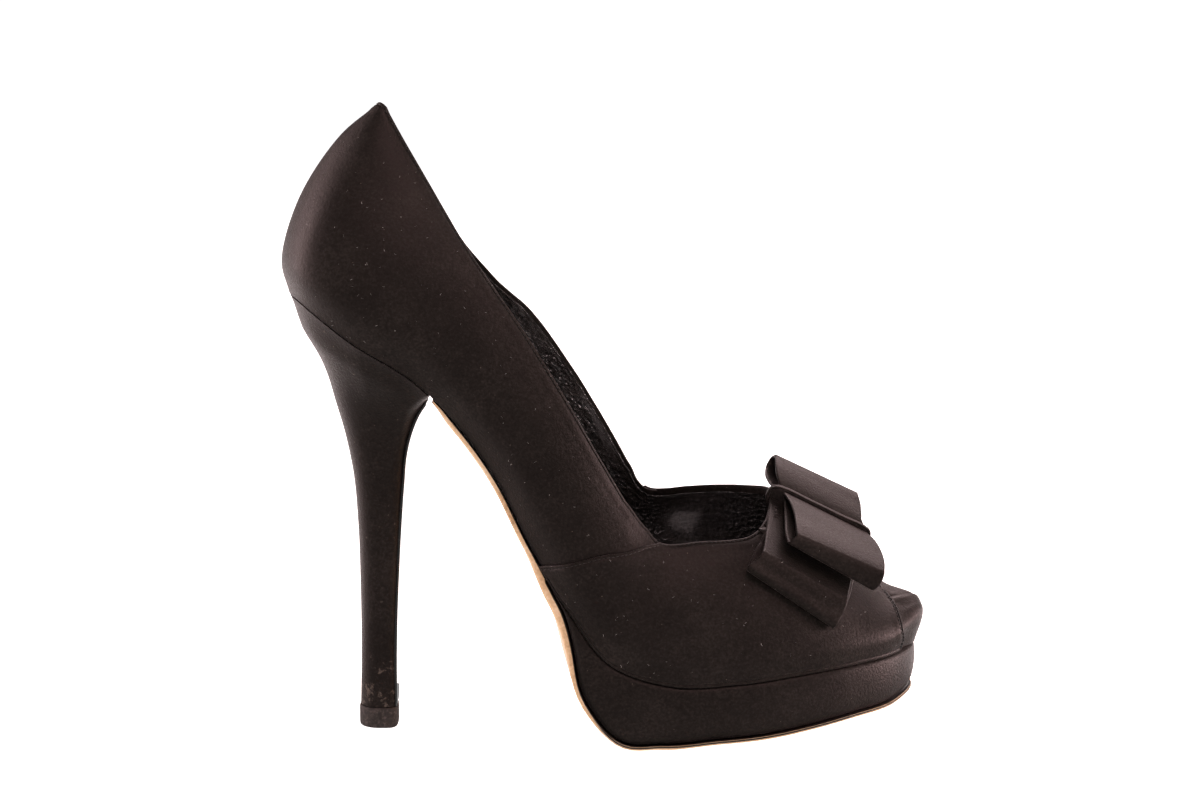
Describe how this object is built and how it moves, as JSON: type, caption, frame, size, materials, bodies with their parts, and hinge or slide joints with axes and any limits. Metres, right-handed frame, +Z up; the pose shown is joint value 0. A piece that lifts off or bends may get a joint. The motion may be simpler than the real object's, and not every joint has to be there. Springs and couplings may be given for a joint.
{
  "type": "platform pump shoe",
  "caption": "Women's platform pump in dark satin with a slim high heel, a closed toe cap, a flat double bow on the vamp and a thin leather outsole.",
  "frame": {"origin": "on the ground, under the middle of the shoe's bounding box", "axes": "+X from heel to toe, +Y towards the inner side of the foot, +Z up; the shoe stands on Z = 0 on its heel tip and the ball of its sole"},
  "size_m": [0.2022, 0.0784, 0.1997],
  "materials": {
    "satin": "dark brown-black satin with a soft sheen",
    "black_lining": "glossy black, crinkled",
    "sole_leather": "smooth tan sole leather",
    "black_patent": "glossy black cover",
    "tip_rubber": "matte dark rubber"
  },
  "bodies": {
    "root": {"bow_band": "satin", "bow_lower": "satin", "bow_upper": "satin", "heel": "satin", "heel_breast": "black_patent", "insole": "black_lining", "outsole": "sole_leather", "platform": "satin", "top_piece": "tip_rubber", "upper": "satin"}
  },
  "joints": []
}
